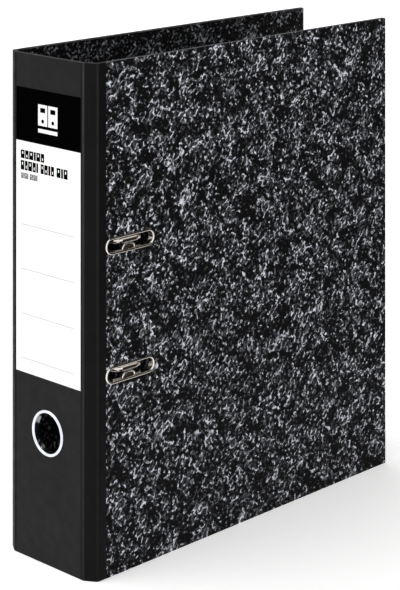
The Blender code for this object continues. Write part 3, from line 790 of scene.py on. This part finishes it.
def build_slot_eyelet(level, material):
    """The pressed eyelet, finer than the frame's: rolled rim, drawn wall and the half-round tab."""
    centre, size = slot_place(level)
    opening = (size.y - 2 * SLOT_RIM, size.z - 2 * SLOT_RIM)
    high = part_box(f"{level}_slot_eyelet")[1].x
    base = HALF - CLOTH_STEP
    proud = high - base
    half = SLOT_RIM / 2
    crown = [(half - half * math.cos(t), base + proud * math.sin(t)) for t in half_turns(14)]
    foot = HALF - WALL - FITTING_FOOT
    profile = crown + [(0.0004, base), (0.0004, foot), (0.0, foot)]
    loops = []
    for offset, x in profile:
        line = stadium((centre.y, centre.z), opening[0] + 2 * offset, opening[1] + 2 * offset)
        loops.append([(y, z, x) for y, z in line])
    eyelet = add(f"{level}_slot_eyelet_polished", ring_mesh(loops), [material], COVER_FRAME)
    finish_piece(shade(eyelet, 50), "front_cover", "bright_nickel", f"{level}_slot_eyelet")
    dome = half_dome(centre, opening[1])
    tab = add(f"{level}_slot_tab", dome, [material], COVER_FRAME)
    finish_piece(shade(tab, 50), "front_cover", "bright_nickel")


def half_dome(centre, opening):
    """The half-round tab on the slot's lower side: a shallow dome inside a raised bead."""
    floor = centre.z - opening / 2 + 0.0001
    base = HALF - TAB_DEPTH
    bead, lift, edge_rise, thick = 0.16, 0.0007, 0.00005, 0.0005
    across = [(0.0, 0.0006), (0.35, 0.0005), (0.66, 0.0002), (1 - 2 * bead + 0.08, edge_rise)]
    for turn in half_turns(8)[1:-1]:
        across.append((1 - bead - bead * math.cos(turn), edge_rise + lift * math.sin(turn)))
    outline = across + [(1.0, -thick / 2), (0.97, -thick), (0.0, -thick)]
    shape = bmesh.new()
    rows = []
    for turn in half_turns(28):
        row = []
        for share, rise in outline:
            y = centre.y + math.cos(turn) * TAB_WIDTH / 2 * share
            z = floor + math.sin(turn) * TAB_HEIGHT * share
            row.append(shape.verts.new((y, z, base + rise)))
        rows.append(row)
    count = len(outline)
    for row, following in zip(rows, rows[1:], strict=False):
        for i in range(count):
            j = (i + 1) % count
            shape.faces.new((row[i], following[i], following[j], row[j]))
    shape.faces.new(rows[0])
    shape.faces.new(rows[-1][::-1])
    bmesh.ops.remove_doubles(shape, verts=shape.verts, dist=1e-7)
    return new_mesh("tab", shape)


# ---- carried-over nodes ----
def dress(names, material, rounding=0.0, angle=35.0):
    """Give frame nodes their material, a fine edge rounding and sharp-by-angle shading."""
    for name in names:
        node = NODES[name]
        node.data.materials.clear()
        node.data.materials.append(material)
        shade(node, angle)
        if rounding:
            round_edges(node, rounding)


# ---- stage ----
FLOOR_Z = -0.0004  # just under the covering's lower edge
FLOOR_REACH = 12.0
FLOOR_GLOW = 0.32
WORLD_STRENGTH = 1.18
DARK_SIDE = Vector((0.28, 0.72, 0.64))
DARK_TONE = (0.10, 0.085, 0.075, 1.0)
DARK_FROM, DARK_TO = 0.60, 0.86  # cosines of the angle from DARK_SIDE
LIGHT_SIDE = Vector((-0.45, -0.75, 1.1))
LIGHT_ENERGY = 0.6
LIGHT_ANGLE = math.radians(50.0)
CARD_DISTANCE, CARD_WIDTH, CARD_HEIGHT = 0.34, 0.52, 0.75
CARD_AZIMUTH = math.radians(46.0)
CARD_TONE = (0.030, 0.023, 0.019, 1.0)


def stage_plane(name, size, material):
    shape = bmesh.new()
    bmesh.ops.create_grid(shape, x_segments=1, y_segments=1, size=size)
    return add(name, new_mesh(name, shape), [material])


def build_floor():
    s = Shader("studio_floor")
    s.set(Base_Color=grey(0.94), Roughness=0.9, Specular_IOR_Level=0.1)
    s.set(Emission_Color=grey(1.0), Emission_Strength=FLOOR_GLOW)
    floor = stage_plane("studio_floor", FLOOR_REACH, s.material)
    floor.location.z = FLOOR_Z


def build_world():
    """White surroundings with one dark side high behind the object, which the metal picks up."""
    world = bpy.data.worlds.new("studio")
    world.use_nodes = True
    nodes, links = world.node_tree.nodes, world.node_tree.links
    toward = nodes.new("ShaderNodeVectorMath")
    toward.operation = "DOT_PRODUCT"
    links.new(nodes.new("ShaderNodeTexCoord").outputs["Generated"], toward.inputs[0])
    toward.inputs[1].default_value = DARK_SIDE.normalized()
    fall = nodes.new("ShaderNodeMapRange")
    fall.interpolation_type = "SMOOTHSTEP"
    fall.inputs["From Min"].default_value = DARK_FROM
    fall.inputs["From Max"].default_value = DARK_TO
    links.new(toward.outputs["Value"], fall.inputs["Value"])
    mix = nodes.new("ShaderNodeMix")
    mix.data_type = "RGBA"
    mix.inputs["A"].default_value = grey(1.0)
    mix.inputs["B"].default_value = DARK_TONE
    links.new(fall.outputs[0], mix.inputs["Factor"])
    background = nodes["Background"]
    links.new(mix.outputs["Result"], background.inputs["Color"])
    background.inputs["Strength"].default_value = WORLD_STRENGTH
    bpy.context.scene.world = world


def build_card():
    """A dark card on the right, seen only in reflections, which draws dark bands along the metal."""
    s = Shader("dark_card")
    s.set(Base_Color=CARD_TONE, Roughness=1.0, Specular_IOR_Level=0.0)
    card = stage_plane("dark_card", 0.5, s.material)
    card.scale = (CARD_WIDTH, CARD_HEIGHT, 1.0)
    card.rotation_euler = (math.pi / 2, 0.0, CARD_AZIMUTH - math.pi / 2)
    card.location = (
        HALF + CARD_DISTANCE * math.cos(CARD_AZIMUTH),
        CARD_DISTANCE * math.sin(CARD_AZIMUTH) - FORE * 0.8,
        CARD_HEIGHT / 2,
    )
    card.visible_camera = False
    card.visible_diffuse = False
    card.visible_shadow = False
    card.visible_transmission = False


def build_lights():
    data = bpy.data.lights.new("window", "SUN")
    data.energy = LIGHT_ENERGY
    data.angle = LIGHT_ANGLE
    light = bpy.data.objects.new("window", data)
    light.rotation_mode = "QUATERNION"
    light.rotation_quaternion = (-LIGHT_SIDE).to_track_quat("-Z", "Y")
    bpy.context.scene.collection.objects.link(light)


# The photograph is a two-point perspective: uprights stay parallel while the lens looks down.
# The camera's axes are therefore sheared, with an upright Y and a viewing axis that slopes.
CAMERA_PLACE = Vector((0.9310, -0.96123, 0.51707))
CAMERA_AZIMUTH = math.radians(44.265)
CAMERA_SLOPE = 0.28134
CAMERA_LENS = 125.0
CAMERA_SENSOR = 36.0


def build_camera():
    right = Vector((math.cos(CAMERA_AZIMUTH), math.sin(CAMERA_AZIMUTH), 0.0))
    up = Vector((0.0, 0.0, 1.0))
    ahead = up.cross(right) - CAMERA_SLOPE * up
    axes = Matrix((right, up, -ahead.normalized())).transposed().to_4x4()
    data = bpy.data.cameras.new("camera")
    data.lens = CAMERA_LENS
    data.sensor_width = CAMERA_SENSOR
    data.clip_start, data.clip_end = 0.01, 100.0
    camera = bpy.data.objects.new("camera", data)
    stand = bpy.data.objects.new("camera_stand", None)
    bpy.context.scene.collection.objects.link(stand)
    bpy.context.scene.collection.objects.link(camera)
    camera.parent = stand
    camera.matrix_parent_inverse = Matrix.Translation(CAMERA_PLACE) @ axes
    bpy.context.scene.camera = camera


# ---- everything ----
def build():
    marbled = marbled_paper("cover_marbling")
    # the linings get painted shade: their pale ink is darkened
    lining = marbled_paper("lining_marbling", shift=(0.0, 0.31, 0.17), painted_shade_factor=LINING_PAINTED_SHADE_FACTOR)
    hinge_lining = marbled_paper("hinge_lining_marbling", "UV", axis=2, painted_shade_factor=LINING_PAINTED_SHADE_FACTOR)
    # the spine's tone carries some painted light
    spine_paper = covering("spine_covering_paper", SPINE_TONE_AND_PAINTED_LIGHT)
    edge = covering("black_edge", CLOTH_TONE, "Object")
    board = greyboard("greyboard")
    chrome = metal("bright_nickel", (0.82, 0.85, 0.93), 0.08, 0.16)
    warm_nickel = metal("warm_nickel", (0.80, 0.765, 0.72), 0.08, 0.16)
    nickel = metal("nickel_steel", (0.66, 0.65, 0.63), 0.24, 0.36, brushed=True)
    spring = metal("spring_steel", (0.34, 0.34, 0.36), 0.28, 0.42, brushed=True)

    build_hinges(hinge_lining)
    build_spine_covering(spine_paper)
    for side in ("front", "back"):
        build_cover_paper(side, marbled, edge)
    build_label(
        printed_paper("label_white", (0.86, 0.86, 0.86)),
        printed_paper("label_black", (0.0008, 0.0008, 0.0008), 0.50, 0.0),
        printed_paper("label_rule_grey", (0.52, 0.52, 0.52)),
        printed_paper("label_text_grey", (0.09, 0.09, 0.09)),
        printed_paper("label_emblem_white", (0.80, 0.80, 0.80)),
    )
    build_finger_ring(chrome)
    for level in ("lower", "upper"):
        build_slot_eyelet(level, warm_nickel)

    dress(["front_lining", "back_lining", "spine_lining"], lining)
    dress([name for name in NODES if name.endswith("_board")], board)
    dress(["finger_ring_backing", "lower_slot_backing", "upper_slot_backing"], nickel, 0.0001)
    dress(["base_plate", "lever"], nickel, 0.00015)
    dress([name for name in NODES if name.startswith("mount_rivet")], nickel)
    dress(["lever_pivot_pin", "roller", "roller_pin", "spring_rivet"], nickel, 0.0001)
    dress(["lower_post", "upper_post"], chrome)
    dress(["arch_bow"], warm_nickel, angle=75.0)
    dress(["leaf_spring"], spring, 0.0001)
    dress(["compressor_bar"], moulded_plastic("black_plastic"), 0.0003)

    build_floor()
    build_world()
    build_card()
    build_lights()
    build_camera()
    bpy.context.scene.view_settings.view_transform = "Standard"


build()
